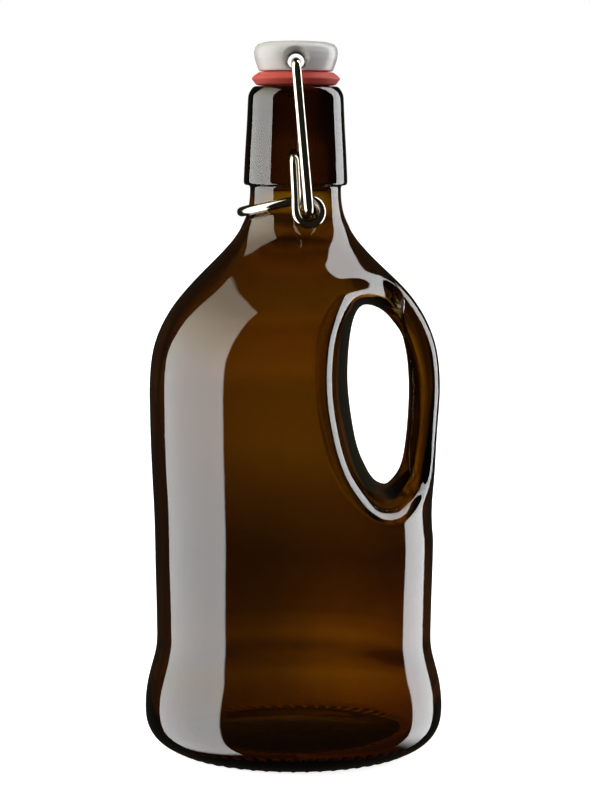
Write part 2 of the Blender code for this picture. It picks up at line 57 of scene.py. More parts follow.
# The same for the cavity, a wall's thickness further in.
CAVITY_FLOOR = (
    (0.0082, 0.0), (0.0076, 0.012), (0.0062, 0.024), (0.0052, 0.0345), (0.0057, 0.0410),
    (0.0076, 0.0453), (0.0112, 0.0480), (0.0160, 0.0492), (0.0210, 0.0491), (0.0245, 0.0486),
    (0.0280, 0.0477), (0.0315, 0.0467), (0.0350, 0.0459), (0.0390, 0.0454), (0.0440, 0.0454),
    (0.0550, 0.0456), (0.0665, 0.0459),
)
CAVITY_STATIONS = (
    (0.0665, 0.0459), (0.0780, 0.0461), (0.0868, 0.0464), (0.0983, 0.0470), (0.1098, 0.0475),
    (0.1210, 0.0478), (0.1300, 0.0479), (0.1365, 0.0474), (0.1416, 0.0465), (0.1457, 0.0453),
    (0.1492, 0.0440), (0.1526, 0.0424), (0.1558, 0.0404), (0.1590, 0.0380), (0.1621, 0.0353),
    (0.1652, 0.0324), (0.1684, 0.0293), (0.1714, 0.0263), (0.1744, 0.0234), (0.1773, 0.0208),
    (0.1806, 0.0184), (0.1844, 0.0161), (0.1890, 0.0144), (0.1950, 0.0133), (0.2020, 0.0125),
)
KICK_HEIGHT = 0.0040
GLASS_TOP = 0.2356
COLLAR_BOTTOM = 0.2010
COLLAR_LOW_RADIUS = 0.0183
COLLAR_TOP_RADIUS = 0.0168
NECK_RADIUS = 0.0160
MOUTH_RADIUS = 0.0097
SEAL_OUTER_RADIUS = 0.0142
# The tunnel's outline at its waist as (x, z), and its rim on the body as (degrees from -Y
# towards +X, z). Knots pair up; every third one belongs to a corner of the patch of wall
# that the tunnel replaces.
HOLE_KNOTS = (
    (0.0216, 0.1115), (0.0256, 0.1008), (0.0296, 0.0953),
    (0.0334, 0.0956), (0.0384, 0.1045), (0.0404, 0.1270),
    (0.0389, 0.1452), (0.0341, 0.1538), (0.0287, 0.1582),
    (0.0230, 0.1582), (0.0198, 0.1497), (0.0188, 0.1315),
)
RIM_KNOTS = (
    (16.5, 0.1095), (25.6, 0.0963), (38.5, 0.0884),
    (55.0, 0.0910), (71.5, 0.1040), (74.0, 0.1300),
    (77.0, 0.1540), (70.0, 0.1660), (48.0, 0.1682),
    (26.6, 0.1645), (13.2, 0.1515), (11.1, 0.1310),
)
PATCH_BOTTOM = 0.0780
PATCH_TOP = 0.1760
TUNNEL_WALL = 0.0034
RIM_ROUNDING = 0.0050
CAVITY_ROUNDING = 0.0026
WAIST_SOFTNESS = 0.30
# A point in the open tunnel, to tell which side of its wall is glass.
TUNNEL_MIDDLE = (0.030, 0.0, 0.127)
# Share of the tunnel's flare that comes late, near the mouth, and how late it comes.
MOUTH_FLARE = 0.38
MOUTH_FLARE_POWER = 10
# The handle's strap: half of its depth along Y, and the knot positions as (start, length
# of the blend in, length of the blend out, end).
STRAP_HALF_DEPTH = 0.0094
STRAP_RANGE = (3.3, 1.0, 1.0, 6.7)
# How far the handle stands out of (+) or into (-) the round body: (height, offset).
HANDLE_SWELL = (
    (0.0760, 0.0), (0.0840, -0.0008), (0.1000, -0.0007), (0.1120, -0.0006),
    (0.1260, 0.0), (0.1450, 0.0002), (0.1570, 0.0006), (0.1650, 0.0009),
    (0.1710, 0.0003), (0.1760, 0.0),
)
# Mesh density: columns round the bottle, and the grid of the patch that the tunnel replaces.
COLUMNS = 112
PATCH_COLUMNS = COLUMNS // 4
PATCH_ROWS = 36
FILLET_STEPS = 8
LEVEL_STEP = 0.0028

# The beaded ring under the foot: (height, radius, share of the beads' depth) rings.
BEADS = 56
BEAD_COLUMNS = 4 * COLUMNS
BEAD_DEPTH = 0.0016
BEAD_RINGS = (
    (0.0015, 0.0445, 0.0), (0.0011, 0.0438, 0.3), (0.0005, 0.0426, 0.8), (0.0001, 0.0412, 1.0),
    (0.0, 0.0398, 1.0), (0.0001, 0.0384, 0.85), (0.0005, 0.0372, 0.35), (0.0010, 0.0360, 0.0),
)
FOOT_SHADE_RADIUS = 0.0405

# ---------------------------------------------------------------- closure (metres)
WIRE_RADIUS = 0.00165
WIRE_BEND = 0.0026
WIRE_STEP = 0.0005
PIVOT = Vector((-0.0005, 0.0, 0.2111))
EYE = Vector((0.0047, 0.0, 0.1922))
BORE_WIRE = Vector((0.0, 0.0, 0.2435))
EYE_RADIUS = 0.0044
PIVOT_LAYER = 0.0201
LEG_LAYER = 0.0219
EYE_LAYER = 0.0216
THUMB_LAYER = 0.0183
PIVOT_END = 0.0158
DIMPLE_BOTTOM = 0.0154
DIMPLE_CUT_LENGTH = 0.0070
THUMB_REACH = 0.0190
THUMB_TIP_DROP = 0.0050
BAIL_LAYER = 0.0261
BAIL_HOOK_END = 0.0200
BAIL_SHOULDER = 0.0210
STOPPER_BORE_RADIUS = 0.0030
STOPPER_BORE_HEIGHT = 0.2443
COUNTERSINK_RADIUS = 0.0052
HEAD_BOTTOM = 0.2408
HEAD_TOP = 0.2514
GASKET_HOLE = 0.0069
CLEARANCE = 0.0003

# ---------------------------------------------------------------- studio
# Brightness of the soft boxes at the side nearer the camera and at the far side.
LEFT_NEAR = 6.3
LEFT_FAR = 3.5
RIGHT_NEAR = 6.2
RIGHT_FAR = 3.6
# The card behind the bottle: where it fades out sideways, the rise (tangent of the
# elevation) at its bottom and top, its tone by elevation in degrees, and the brightness
# of the room beside it, level and low down.
CARD_WIDTH = (0.42, 0.80)
CARD_BOTTOM = -0.30
CARD_TOP = 0.20
SURROUND = 0.30
SURROUND_LOW = 0.75
CARD_STOPS = (
    (-16.0, (0.75, 0.66, 0.50)), (-12.0, (0.73, 0.62, 0.50)), (-10.9, (0.55, 0.43, 0.30)),
    (-9.9, (0.27, 0.19, 0.12)), (-8.9, (0.19, 0.135, 0.09)), (-7.8, (0.39, 0.32, 0.25)),
    (-6.6, (0.78, 0.70, 0.60)), (-4.9, (0.72, 0.62, 0.50)), (-4.0, (0.82, 0.70, 0.58)),
    (-3.0, (1.10, 0.92, 0.75)), (-1.8, (1.15, 1.05, 0.75)), (-0.8, (0.95, 0.95, 0.70)),
    (4.0, (1.00, 1.10, 0.70)), (9.0, (0.35, 0.36, 0.28)),
)

# ---------------------------------------------------------------- camera
CAMERA_HEIGHT = 0.215
CAMERA_DISTANCE = 0.925
AIM_HEIGHT = 0.125
LENS = 117.8
ROLL = math.radians(-0.22)
SHIFT = -0.0002


def make_camera():
    data = bpy.data.cameras.new("camera")
    camera = bpy.data.objects.new("camera", data)
    bpy.context.scene.collection.objects.link(camera)
    data.lens = LENS
    data.sensor_width = 36.0
    camera.location = (0.0, -CAMERA_DISTANCE, CAMERA_HEIGHT)
    pitch = math.atan2(CAMERA_HEIGHT - AIM_HEIGHT, CAMERA_DISTANCE)
    camera.rotation_euler = (math.pi / 2.0 - pitch, ROLL, 0.0)
    data.shift_x = SHIFT
    bpy.context.scene.camera = camera


make_camera()


# ---------------------------------------------------------------- node helpers
class Nodes:
    """Short calls for building a node tree."""

    def __init__(self, tree):
        self.tree = tree
        tree.nodes.clear()

    def add(self, kind, **values):
        node = self.tree.nodes.new(kind)
        for key, value in values.items():
            setattr(node, key, value)
        return node

    def link(self, source, target):
        self.tree.links.new(source, target)

    def math(self, operation, first, second=None, third=None):
        node = self.add("ShaderNodeMath", operation=operation)
        for socket, value in zip(node.inputs, (first, second, third)):
            self.feed(socket, value)
        return node.outputs[0]

    def feed(self, socket, value):
        if value is None:
            return
        if hasattr(value, "links"):
            self.link(value, socket)
        else:
            socket.default_value = value

    def mix(self, factor, first, second):
        node = self.add("ShaderNodeMix", data_type="RGBA")
        self.feed(node.inputs["Factor"], factor)
        self.feed(node.inputs["A"], first)
        self.feed(node.inputs["B"], second)
        return node.outputs["Result"]

    def noise(self, vector, scale, detail=2.0, roughness=0.5):
        node = self.add("ShaderNodeTexNoise")
        self.link(vector, node.inputs["Vector"])
        node.inputs["Scale"].default_value = scale
        node.inputs["Detail"].default_value = detail
        node.inputs["Roughness"].default_value = roughness
        return node.outputs["Fac"]

    def remap(self, value, low, high, to_low, to_high, smooth=True):
        node = self.add("ShaderNodeMapRange")
        node.interpolation_type = "SMOOTHSTEP" if smooth else "LINEAR"
        self.feed(node.inputs["Value"], value)
        for name, number in (("From Min", low), ("From Max", high),
                             ("To Min", to_low), ("To Max", to_high)):
            node.inputs[name].default_value = number
        return node.outputs["Result"]

    def bump(self, height, strength, distance):
        node = self.add("ShaderNodeBump")
        node.inputs["Strength"].default_value = strength
        node.inputs["Distance"].default_value = distance
        self.link(height, node.inputs["Height"])
        return node.outputs["Normal"]

    def object_position(self):
        return self.add("ShaderNodeTexCoord").outputs["Object"]

    def separate(self, vector):
        node = self.add("ShaderNodeSeparateXYZ")
        self.link(vector, node.inputs[0])
        return node.outputs

    def dimmed(self, vector, amount):
        node = self.add("ShaderNodeVectorMath", operation="SCALE")
        self.feed(node.inputs[0], vector)
        self.feed(node.inputs["Scale"], amount)
        return node.outputs[0]

    def stretched(self, vector, scale):
        node = self.add("ShaderNodeMapping")
        node.inputs["Scale"].default_value = scale
        self.link(vector, node.inputs["Vector"])
        return node.outputs["Vector"]


def new_material(name):
    material = bpy.data.materials.new(name)
    material.use_nodes = True
    nodes = Nodes(material.node_tree)
    shader = nodes.add("ShaderNodeBsdfPrincipled")
    output = nodes.add("ShaderNodeOutputMaterial")
    nodes.link(shader.outputs["BSDF"], output.inputs["Surface"])
    return material, nodes, shader, output


# ---------------------------------------------------------------- materials
def amber_glass():
    """Dark amber bottle glass, coloured by the thickness that light crosses."""
    material, nodes, shader, output = new_material("amber_glass")
    shader.inputs["Base Color"].default_value = (1.0, 1.0, 1.0, 1.0)
    shader.inputs["Transmission Weight"].default_value = 1.0
    shader.inputs["IOR"].default_value = 1.52
    position = nodes.object_position()
    x, y, z = nodes.separate(position)

    # Slow waviness of blown glass and the mould seam along the XZ plane.
    waves = nodes.noise(nodes.stretched(position, (1.0, 1.0, 0.45)), 42.0, 1.5, 0.4)
    seam = nodes.remap(nodes.math("ABSOLUTE", y), 0.0, 0.00035, 1.0, 0.0)
    below_collar = nodes.remap(z, 0.199, 0.2005, 1.0, 0.0)
    above_foot = nodes.remap(z, 0.004, 0.006, 0.0, 1.0)
    seam = nodes.math("MULTIPLY", seam, nodes.math("MULTIPLY", below_collar, above_foot))
    height = nodes.math("MULTIPLY_ADD", seam, 0.06, waves)
    nodes.link(nodes.bump(height, 0.35, 0.0009), shader.inputs["Normal"])

    # Handling leaves the foot's bearing edge a little duller than the rest.
    scuff = nodes.noise(position, 900.0, 3.0, 0.6)
    worn = nodes.remap(z, 0.0, 0.0022, 1.0, 0.0)
    rough = nodes.math("MULTIPLY", nodes.math("MULTIPLY", scuff, worn), 0.30)
    nodes.link(nodes.math("ADD", rough, 0.012), shader.inputs["Roughness"])

    absorb = nodes.add("ShaderNodeVolumeAbsorption")
    absorb.inputs["Color"].default_value = (0.682, 0.542, 0.0, 1.0)
    absorb.inputs["Density"].default_value = 1009.0
    nodes.link(absorb.outputs["Volume"], output.inputs["Volume"])
    return material


def glazed_porcelain():
    """White glaze over a slightly grey body, with faint pooling and pinholes."""
    material, nodes, shader, _ = new_material("glazed_porcelain")
    position = nodes.object_position()
    cloud = nodes.noise(position, 160.0, 3.0, 0.55)
    speck = nodes.remap(nodes.noise(position, 1500.0, 1.0, 0.5), 0.74, 0.80, 0.0, 1.0)
    white = nodes.mix(cloud, (0.80, 0.79, 0.765, 1.0), (0.86, 0.855, 0.84, 1.0))
    colour = nodes.mix(nodes.math("MULTIPLY", speck, 0.35), white, (0.50, 0.45, 0.38, 1.0))
    nodes.link(colour, shader.inputs["Base Color"])
    nodes.link(nodes.remap(cloud, 0.3, 0.7, 0.16, 0.26), shader.inputs["Roughness"])
    shader.inputs["IOR"].default_value = 1.5
    shader.inputs["Specular IOR Level"].default_value = 0.22
    shader.inputs["Coat Weight"].default_value = 0.10
    shader.inputs["Coat Roughness"].default_value = 0.06
    shader.inputs["Subsurface Weight"].default_value = 0.12
    shader.inputs["Subsurface Radius"].default_value = (0.0012, 0.001, 0.0008)
    nodes.link(nodes.bump(nodes.noise(position, 240.0, 2.0, 0.5), 0.25, 0.00012),
               shader.inputs["Normal"])
    return material


def red_rubber():
    """Soft red rubber, matt with a moulded bloom."""
    material, nodes, shader, _ = new_material("red_rubber")
    position = nodes.object_position()
    cloud = nodes.noise(position, 300.0, 3.0, 0.6)
    grain = nodes.noise(position, 2600.0, 2.0, 0.6)
    colour = nodes.mix(cloud, (0.62, 0.080, 0.062, 1.0), (0.72, 0.120, 0.092, 1.0))
    nodes.link(colour, shader.inputs["Base Color"])
    nodes.link(nodes.remap(grain, 0.3, 0.7, 0.42, 0.58), shader.inputs["Roughness"])
    shader.inputs["Subsurface Weight"].default_value = 0.35
    shader.inputs["Subsurface Radius"].default_value = (0.004, 0.0012, 0.0008)
    shader.inputs["Specular IOR Level"].default_value = 0.25
    nodes.link(nodes.bump(grain, 0.2, 0.00006), shader.inputs["Normal"])
    return material


def steel_wire():
    """Bright drawn steel wire: fine lines along the wire, a few darker rubs."""
    material, nodes, shader, _ = new_material("drawn_steel")
    shader.inputs["Metallic"].default_value = 1.0
    position = nodes.object_position()
    lines = nodes.noise(nodes.stretched(position, (1.0, 1.0, 0.04)), 3200.0, 2.0, 0.5)
    rubs = nodes.noise(position, 260.0, 3.0, 0.6)
    tone = nodes.mix(rubs, (0.42, 0.385, 0.33, 1.0), (0.54, 0.505, 0.44, 1.0))
    nodes.link(tone, shader.inputs["Base Color"])
    nodes.link(nodes.remap(rubs, 0.25, 0.75, 0.07, 0.15), shader.inputs["Roughness"])
    nodes.link(nodes.bump(lines, 0.12, 0.00004), shader.inputs["Normal"])
    return material


# ---------------------------------------------------------------- mesh helpers
def finish_mesh(name, bm, material, subdivisions=0):
    bmesh.ops.recalc_face_normals(bm, faces=bm.faces)
    mesh = bpy.data.meshes.new(name)
    bm.to_mesh(mesh)
    bm.free()
    mesh.shade_smooth()
    mesh.materials.append(material)
    piece = bpy.data.objects.new(name, mesh)
    bpy.context.scene.collection.objects.link(piece)
    if subdivisions:
        smooth = piece.modifiers.new("smooth", "SUBSURF")
        smooth.levels = subdivisions
        smooth.render_levels = subdivisions
    return piece


def curve_at(stations, position):
    """Value at a position on a smooth curve through (position, value) stations."""
    places, values = np.array(stations).T
    slopes = np.gradient(values, places)
    i = int(np.clip(np.searchsorted(places, position) - 1, 0, len(places) - 2))
    step = places[i + 1] - places[i]
    t = float(np.clip((position - places[i]) / step, 0.0, 1.0))
    blend = t * t * (3.0 - 2.0 * t)
    rise = t * (1.0 - t) ** 2 * slopes[i] - t * t * (1.0 - t) * slopes[i + 1]
    return float(values[i] + blend * (values[i + 1] - values[i]) + rise * step)


def loop_at(knots, position):
    """Point on a smooth closed curve through the knots; position counts knots."""
    points = np.array(knots)
    count = len(points)
    i = int(math.floor(position)) % count
    t = position - math.floor(position)
    before, start, end, after = (points[(i + k) % count] for k in (-1, 0, 1, 2))
    return 0.5 * (2.0 * start + (end - before) * t
                  + (2.0 * before - 5.0 * start + 4.0 * end - after) * t ** 2
                  + (3.0 * start - before - 3.0 * end + after) * t ** 3)


def handle_window(angle):
    """1 in the middle of the handle (+X), falling to 0 at 45 degrees either side of it."""
    away = abs(angle - math.pi / 2.0)
    if away >= math.pi / 4.0:
        return 0.0
    return math.cos(2.0 * away) ** 2


def ring_vertices(bm, radius, height, swell=0.0):
    ring = []
    for column in range(COLUMNS):
        angle = 2.0 * math.pi * column / COLUMNS
        reach = radius + swell * handle_window(angle)
        ring.append(bm.verts.new((reach * math.sin(angle), -reach * math.cos(angle), height)))
    return ring


def bridge_rings(bm, lower, upper, skipped=()):
    for column in range(COLUMNS):
        if column in skipped:
            continue
        after = (column + 1) % COLUMNS
        bm.faces.new((lower[column], lower[after], upper[after], upper[column]))


# ---------------------------------------------------------------- glass bottle
class Skin:
    """One side of the glass wall, outside or cavity, around the finger tunnel."""

    def __init__(self, stations, offset, rounding, outer=None):
        self.stations = stations
        self.offset = offset
        self.rounding = rounding
        self.outer = outer
        self.known = {}

    def point(self, angle, height):
        radius = curve_at(self.stations, height)
        radius += curve_at(HANDLE_SWELL, height) * handle_window(angle)
        return np.array((radius * math.sin(angle), -radius * math.cos(angle), height))

    def rim_and_hole(self, position):
        """Matching points of the tunnel's rim (angle, height) and waist outline (x, z)."""
        if position not in self.known:
            self.known[position] = self.work_out_rim(position)
        return self.known[position]

    def work_out_rim(self, position):
        waist = loop_at(HOLE_KNOTS, position)
        if self.outer is None:
            rim_angle, rim_height = loop_at(RIM_KNOTS, position)
            return math.radians(rim_angle), rim_height, waist
        tangent = loop_at(HOLE_KNOTS, position + 0.01) - loop_at(HOLE_KNOTS, position - 0.01)
        outward = np.array((tangent[1], -tangent[0]))
        waist = waist + outward * self.offset / np.linalg.norm(outward)
        corner = self.offset_rim(position)
        return math.atan2(corner[0], -corner[1]), corner[2], waist

    def offset_rim(self, position):
        """Rim corner moved into the glass by the wall's thickness from both its faces."""
        outer = self.outer
        angle, height, _ = outer.rim_and_hole(position)
        rim = outer.point(angle, height)
        step = 0.01
        around = outer.point(angle + step, height) - outer.point(angle - step, height)
        upward = outer.point(angle, height + 0.0005) - outer.point(angle, height - 0.0005)
        body_normal = np.cross(around, upward)
        body_normal /= np.linalg.norm(body_normal)
        into_tunnel = outer.wall_point(position, 0.97) - rim
        ahead = outer.rim_and_hole(position + step)
        behind = outer.rim_and_hole(position - step)
        along = outer.point(*ahead[:2]) - outer.point(*behind[:2])
        wall_normal = np.cross(along, into_tunnel)
        wall_normal /= np.linalg.norm(wall_normal)
        middle = np.array(TUNNEL_MIDDLE)
        if np.dot(wall_normal, middle - outer.wall_point(position, 0.0)) < 0.0:
            wall_normal = -wall_normal
        share = self.offset / (1.0 + np.dot(body_normal, wall_normal))
        return rim - share * (body_normal + wall_normal)

    def wall_point(self, position, reach):
        """Point on the tunnel's wall: reach is 0 at the waist (y = 0) and 1 at the rim."""
        angle, height, waist = self.rim_and_hole(position)
        rim = self.point(angle, height)
        soft = WAIST_SOFTNESS
        flare = (math.hypot(reach, soft) - soft) / (math.hypot(1.0, soft) - soft)
        mouth = MOUTH_FLARE * (1.0 - strap_share(position))
        flare += mouth * (reach ** MOUTH_FLARE_POWER - flare)
        x = waist[0] + (rim[0] - waist[0]) * flare
        z = waist[1] + (rim[2] - waist[1]) * flare
        return np.array((x, rim[1] * reach, z))

    def tunnel_strip(self, position, patch_angle, patch_height):
        """Points from beside the patch's edge, over the tunnel's rim, down to the waist."""
        share = strap_share(position)
        strip = self.rim_strip(position, patch_angle, patch_height)
        if share == 0.0:
            return strip
        strap = self.strap_strip(position, patch_angle, patch_height, len(strip))
        return [point + (other - point) * share for point, other in zip(strip, strap)]

    def rim_strip(self, position, patch_angle, patch_height):
        """The strip with a rounded rim between the bottle's side and the tunnel's wall."""
        angle, height, waist = self.rim_and_hole(position)
        rim = self.point(angle, height)
        edge = self.point(patch_angle, patch_height)
        rounding = min(self.rounding, 0.34 * abs(rim[1]))
        start = 1.0 - rounding / np.linalg.norm(rim - edge)
        depth = math.dist(rim, (waist[0], 0.0, waist[1]))
        end_reach = 1.0 - rounding / depth

        def on_body(share):
            return self.point(patch_angle + (angle - patch_angle) * share,
                              patch_height + (height - patch_height) * share)

        first = on_body(start)
        last = self.wall_point(position, end_reach)
        strip = [on_body(start * share) for share in (0.25, 0.5, 0.75)] + [first]
        for k in range(1, FILLET_STEPS):
            t = k / FILLET_STEPS
            strip.append((1 - t) ** 2 * first + 2 * t * (1 - t) * rim + t * t * last)
        strip.append(last)
        for share in (0.86, 0.72, 0.58, 0.44, 0.31, 0.19, 0.09, 0.0):
            strip.append(self.wall_point(position, end_reach * share))
        return strip

    def strap_strip(self, position, patch_angle, patch_height, count):
        """The strip as half of an oval section, for the strap that the hand closes round."""
        _, _, waist = self.rim_and_hole(position)
        edge = self.point(patch_angle, patch_height)
        last = np.array((waist[0], 0.0, waist[1]))
        depth = (STRAP_HALF_DEPTH - self.offset) / 0.75    # the curve goes 3/4 of the way out
        out = np.array((0.0, -depth, 0.0))
        strip = []
        for k in range(1, count + 1):
            t = k / count
            strip.append((1 - t) ** 3 * edge + 3 * t * (1 - t) ** 2 * (edge + out)
                         + 3 * t * t * (1 - t) * (last + out) + t ** 3 * last)
        return strip


def strap_share(position):
    """1 along the middle of the handle's strap, falling to 0 where it joins the body."""
    rise = np.clip((position - STRAP_RANGE[0]) / STRAP_RANGE[1], 0.0, 1.0)
    fall = np.clip((STRAP_RANGE[3] - position) / STRAP_RANGE[2], 0.0, 1.0)
    share = min(rise, fall)
    return float(share * share * (3.0 - 2.0 * share))


def patch_border():
    """(column, row, knot position) of each point of the border around the tunnel patch."""
    border = []
    for k in range(PATCH_COLUMNS):
        border.append((k, 0, 3.0 * k / PATCH_COLUMNS))
    for k in range(PATCH_ROWS):
        border.append((PATCH_COLUMNS, k, 3.0 + 3.0 * k / PATCH_ROWS))
    for k in range(PATCH_COLUMNS):
        border.append((PATCH_COLUMNS - k, PATCH_ROWS, 6.0 + 3.0 * k / PATCH_COLUMNS))
    for k in range(PATCH_ROWS):
        border.append((0, PATCH_ROWS - k, 9.0 + 3.0 * k / PATCH_ROWS))
    return border


def add_tunnel(bm, skin, rows):
    """Replace the front and back patches of a skin with the tunnel that joins them."""
    border = patch_border()
    strips = []
    for column, row, position in border:
        angle = 2.0 * math.pi * column / COLUMNS
        strips.append(skin.tunnel_strip(position, angle, rows[row][0].co.z))
    waist_ring = [bm.verts.new(strip[-1]) for strip in strips]
    for side in (1, -1):
        rings = []
        for column, row, _ in border:
            mirrored = column if side == 1 else COLUMNS // 2 - column
            rings.append([rows[row][mirrored]])
        for ring, strip in zip(rings, strips):
            for point in strip[:-1]:
                ring.append(bm.verts.new((point[0], side * point[1], point[2])))
        for ring, waist in zip(rings, waist_ring):
            ring.append(waist)
        for k, ring in enumerate(rings):
            after = rings[(k + 1) % len(rings)]
            for level in range(len(ring) - 1):
                corners = (ring[level], after[level], after[level + 1], ring[level + 1])
                bm.faces.new(corners)


def add_wall(bm, skin, levels, bottom):
    """Rings of a skin at the given heights, with the tunnel let into the patch rows."""
    rings = []
    for height in levels:
        radius = curve_at(skin.stations, height)
        rings.append(ring_vertices(bm, radius, height, curve_at(HANDLE_SWELL, height)))
    patch = set(range(COLUMNS // 2))
    for k in range(len(levels) - 1):
        skipped = patch if bottom <= k < bottom + PATCH_ROWS else ()
        bridge_rings(bm, rings[k], rings[k + 1], skipped)
    add_tunnel(bm, skin, rings[bottom:bottom + PATCH_ROWS + 1])
    return rings


def spaced(low, high, step):
    """Evenly spaced heights from low to high, both included."""
    count = max(1, round((high - low) / step))
    return [low + (high - low) * k / count for k in range(count + 1)]


def wall_levels(stations):
    below = spaced(stations[0][0], PATCH_BOTTOM, LEVEL_STEP)
    patch = [PATCH_BOTTOM + (PATCH_TOP - PATCH_BOTTOM) * k / PATCH_ROWS
             for k in range(PATCH_ROWS + 1)]
    above = spaced(PATCH_TOP, stations[-1][0], LEVEL_STEP * 0.7)
    return below + patch[1:] + above[1:], len(below) - 1


def add_turned(bm, start_ring, outline):
    """Continue a surface from a ring through (height, radius) points; radius 0 closes it."""
    ring = start_ring
    for height, radius in outline:
        if radius == 0.0:
            centre = bm.verts.new((0.0, 0.0, height))
            for column in range(COLUMNS):
                bm.faces.new((ring[column], ring[(column + 1) % COLUMNS], centre))
            return None
        following = ring_vertices(bm, radius, height)
        bridge_rings(bm, ring, following)
        ring = following
    return ring


def smooth_outline(points, step):
    """The same (height, radius) outline, rounded through its points and evenly spaced."""
    path = np.array(points)
    lengths = np.concatenate(([0.0], np.cumsum(np.linalg.norm(np.diff(path, axis=0), axis=1))))
    count = max(2, round(lengths[-1] / step))
    heights = list(zip(lengths, path[:, 0]))
    radii = list(zip(lengths, path[:, 1]))
    places = np.linspace(0.0, lengths[-1], count + 1)
    return [(curve_at(heights, s), max(0.0, curve_at(radii, s))) for s in places]


def collar_outline():
    """From the neck, over the collar and the sealing face, down into the bore."""
    height = GLASS_TOP - COLLAR_BOTTOM
    low, top = COLLAR_LOW_RADIUS, COLLAR_TOP_RADIUS
    under = [(COLLAR_BOTTOM - 0.0007, NECK_RADIUS), (COLLAR_BOTTOM - 0.0002, NECK_RADIUS + 0.0002),
             (COLLAR_BOTTOM, NECK_RADIUS + 0.0007), (COLLAR_BOTTOM, low - 0.0012),
             (COLLAR_BOTTOM + 0.0001, low - 0.0006), (COLLAR_BOTTOM + 0.0005, low - 0.00015),
             (COLLAR_BOTTOM + 0.0012, low)]
    side = smooth_outline([(COLLAR_BOTTOM + 0.0030, low - 0.0001),
                           (COLLAR_BOTTOM + 0.33 * height, low - 0.0005),
                           (COLLAR_BOTTOM + 0.62 * height, top + 0.0004),
                           (GLASS_TOP - 0.0042, top)], 0.0025)
    corner = [(GLASS_TOP - 0.0032, top - 0.0001), (GLASS_TOP - 0.0024, top - 0.0004),
              (GLASS_TOP - 0.0016, top - 0.0008), (GLASS_TOP - 0.0009, top - 0.0013),
              (GLASS_TOP - 0.0004, top - 0.0017), (GLASS_TOP - 0.0001, SEAL_OUTER_RADIUS + 0.0004),
              (GLASS_TOP, SEAL_OUTER_RADIUS), (GLASS_TOP, 0.0120),
              (GLASS_TOP, MOUTH_RADIUS + 0.0014), (GLASS_TOP - 0.0002, MOUTH_RADIUS + 0.0008),
              (GLASS_TOP - 0.0006, MOUTH_RADIUS + 0.0003), (GLASS_TOP - 0.0014, MOUTH_RADIUS)]
    bore = smooth_outline([(GLASS_TOP - 0.0040, MOUTH_RADIUS), (GLASS_TOP - 0.0100, 0.0104),
                           (GLASS_TOP - 0.0220, 0.0120), (0.2050, 0.0124)], 0.0030)
    return under + side + corner + bore


def add_beads(bm, coarse, rings):
    """The knurled ring under the foot: finer columns, lifted between the beads."""
    angles = [2.0 * math.pi * k / BEAD_COLUMNS for k in range(BEAD_COLUMNS)]
    gaps = [1.0 - abs(math.cos(0.5 * BEADS * angle)) for angle in angles]
    fine = []
    for height, radius, lift in rings:
        fine.append([bm.verts.new((radius * math.sin(angle), -radius * math.cos(angle),
                                   height + BEAD_DEPTH * lift * gap))
                     for angle, gap in zip(angles, gaps)])
    for lower, upper in zip(fine, fine[1:]):
        for k in range(BEAD_COLUMNS):
            after = (k + 1) % BEAD_COLUMNS
            bm.faces.new((lower[k], lower[after], upper[after], upper[k]))
    inner = ring_vertices(bm, rings[-1][1] - 0.0012, rings[-1][0] + 0.0003)
    for plain, knurled in ((coarse, fine[0]), (inner, fine[-1])):
        for column in range(COLUMNS):
            after = (column + 1) % COLUMNS
            span = [knurled[(4 * column + k) % BEAD_COLUMNS] for k in range(5)]
            bm.faces.new([plain[after], plain[column]] + span)
    return inner


def bottle_mesh():
    bm = bmesh.new()
    outer = Skin(WALL_STATIONS, 0.0, RIM_ROUNDING)
    levels, bottom = wall_levels(WALL_STATIONS)
    outer_rings = add_wall(bm, outer, levels, bottom)

    foot = smooth_outline(tuple(reversed(FOOT_STATIONS)), 0.0022)[1:-1]
    ring = add_turned(bm, outer_rings[0], foot)
    ring = add_beads(bm, ring, BEAD_RINGS)
    kick = smooth_outline(((0.0018, 0.0330), (0.0026, 0.0300), (KICK_HEIGHT, 0.0200),
                           (KICK_HEIGHT + 0.0004, 0.0030)), 0.0030)
    add_turned(bm, ring, kick + [(KICK_HEIGHT + 0.0004, 0.0)])

    bore_end = add_turned(bm, outer_rings[-1], collar_outline())
    cavity = Skin(CAVITY_STATIONS, TUNNEL_WALL, CAVITY_ROUNDING, outer)
    levels, bottom = wall_levels(CAVITY_STATIONS)
    inner_rings = add_wall(bm, cavity, levels, bottom)
    bridge_rings(bm, bore_end, inner_rings[-1])
    floor = smooth_outline(tuple(reversed(CAVITY_FLOOR)), 0.0028)[1:-1]
    add_turned(bm, inner_rings[0], floor + [CAVITY_FLOOR[0]])
    return bm


def make_bottle(material):
    piece = finish_mesh("bottle_glass", bottle_mesh(), material, 1)
    cut = piece.modifiers.new("pivot_dimples", "BOOLEAN")
    cut.operation = "DIFFERENCE"
    cut.object = dimple_cutter()
    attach(piece, "bottle")
    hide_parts("glass_bottle")


def hide_cutter(name, bm):
    cutter = finish_mesh(name, bm, None)
    cutter.hide_render = True
    cutter.display_type = "WIRE"
    return cutter


def dimple_cutter():
    bm = bmesh.new()
    length = DIMPLE_CUT_LENGTH
    radius = WIRE_RADIUS + CLEARANCE
    for side in (1, -1):
        made = bmesh.ops.create_cone(bm, cap_ends=True, segments=32, depth=length,
                                     radius1=radius, radius2=radius + 0.0004)
        turn = Vector((0.0, 0.0, 1.0)).rotation_difference(Vector((0.0, side, 0.0)))
        bmesh.ops.rotate(bm, verts=made["verts"], matrix=turn.to_matrix())
        shift = Vector((PIVOT.x, side * (DIMPLE_BOTTOM + length / 2.0), PIVOT.z))
        bmesh.ops.translate(bm, verts=made["verts"], vec=shift)
    return hide_cutter("dimple_cutter", bm)


